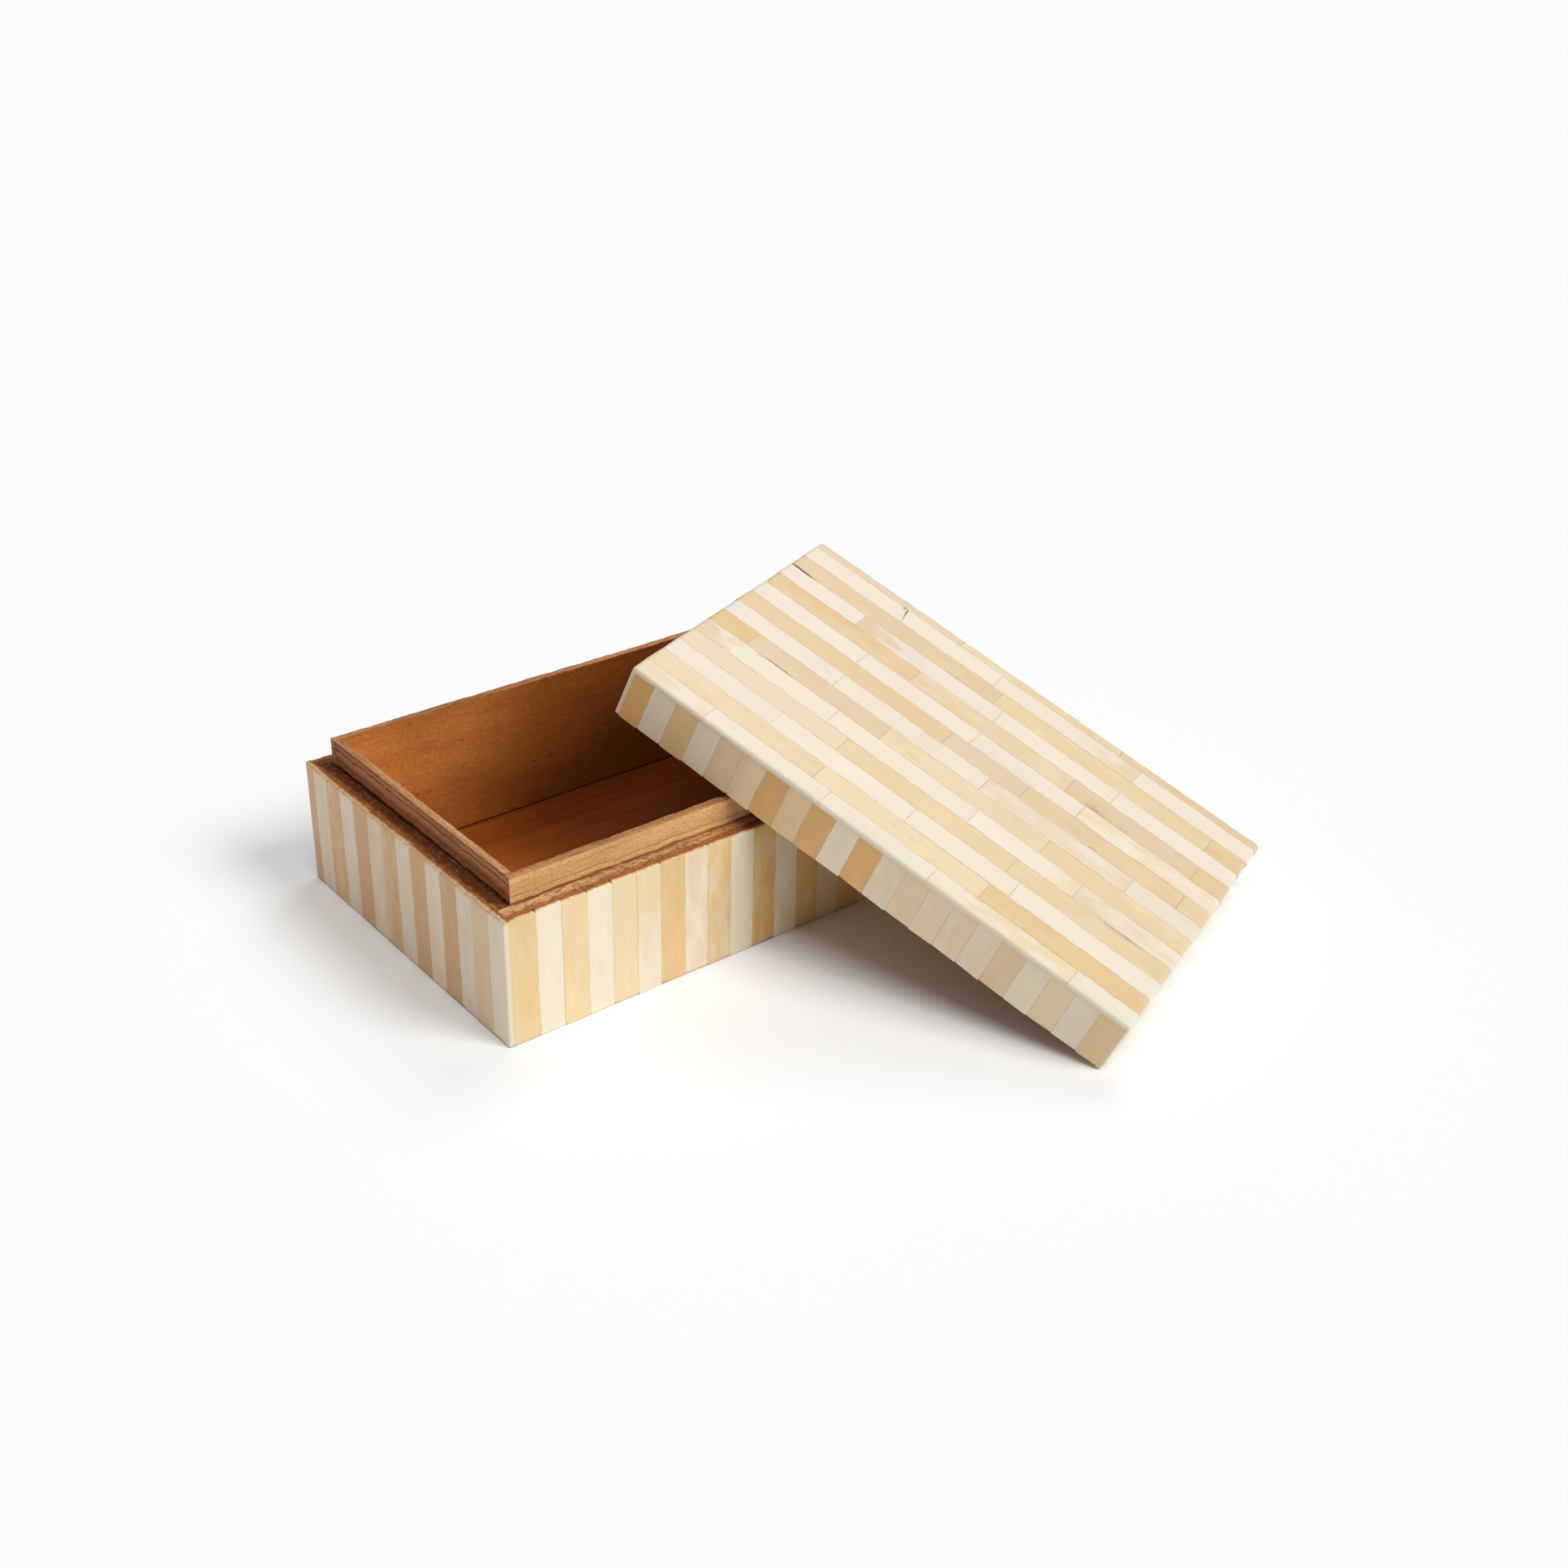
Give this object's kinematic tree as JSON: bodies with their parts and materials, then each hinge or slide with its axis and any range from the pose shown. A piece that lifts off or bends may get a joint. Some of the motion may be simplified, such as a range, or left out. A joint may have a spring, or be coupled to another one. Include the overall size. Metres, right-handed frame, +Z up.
{
  "type": "lidded inlaid box",
  "caption": "Rectangular wooden box clad in alternating cream and honey bone strips, with a raised inner lip and a lift-off lid that leans open across its front corner",
  "frame": {"origin": "the middle of the flat underside of the box, where it stands", "axes": "+X runs along the long side of the box, -Y points out of its front, which the lid leans across, and +Z is up"},
  "size_m": [0.2678, 0.2618, 0.0977],
  "materials": {
    "bone_cream": "polished bone, satin",
    "bone_honey": "stained and polished bone, satin",
    "liner_wood": "thinly stained wood, worn pale along the edges",
    "floor_wood": "stained wood, satin",
    "carcass_wood": "rough sawn and stained wood",
    "lid_wood": "stained wood, matt"
  },
  "bodies": {
    "base": {"base_bone_back_cream": "bone_cream", "base_bone_back_honey": "bone_honey", "base_bone_front_cream": "bone_cream", "base_bone_front_honey": "bone_honey", "base_bone_left_cream": "bone_cream", "base_bone_left_honey": "bone_honey", "base_bone_right_cream": "bone_cream", "base_bone_right_honey": "bone_honey", "base_floor": "floor_wood", "base_wall_back": "carcass_wood", "base_wall_front": "carcass_wood", "base_wall_left": "carcass_wood", "base_wall_right": "carcass_wood", "liner_back": "liner_wood", "liner_front": "liner_wood", "liner_left": "liner_wood", "liner_right": "liner_wood"},
    "lid": {"lid_bone_back_cream": "bone_cream", "lid_bone_back_honey": "bone_honey", "lid_bone_front_cream": "bone_cream", "lid_bone_front_honey": "bone_honey", "lid_bone_left_cream": "bone_cream", "lid_bone_left_honey": "bone_honey", "lid_bone_right_cream": "bone_cream", "lid_bone_right_honey": "bone_honey", "lid_course_01_honey": "bone_honey", "lid_course_02_cream": "bone_cream", "lid_course_03_honey": "bone_honey", "lid_course_04_cream": "bone_cream", "lid_course_05_honey": "bone_honey", "lid_course_06_cream": "bone_cream", "lid_course_07_honey": "bone_honey", "lid_course_08_cream": "bone_cream", "lid_course_09_honey": "bone_honey", "lid_course_10_cream": "bone_cream", "lid_course_11_honey": "bone_honey", "lid_course_12_cream": "bone_cream", "lid_course_13_honey": "bone_honey", "lid_course_14_cream": "bone_cream", "lid_panel": "lid_wood", "lid_rail_back": "lid_wood", "lid_rail_front": "lid_wood", "lid_rail_left": "lid_wood", "lid_rail_right": "lid_wood"}
  },
  "joints": [
    {"name": "lid_lift", "type": "slide", "parent": "base", "child": "lid", "axis": [0, 0, 1], "range_m": [0, 0.1]}
  ]
}
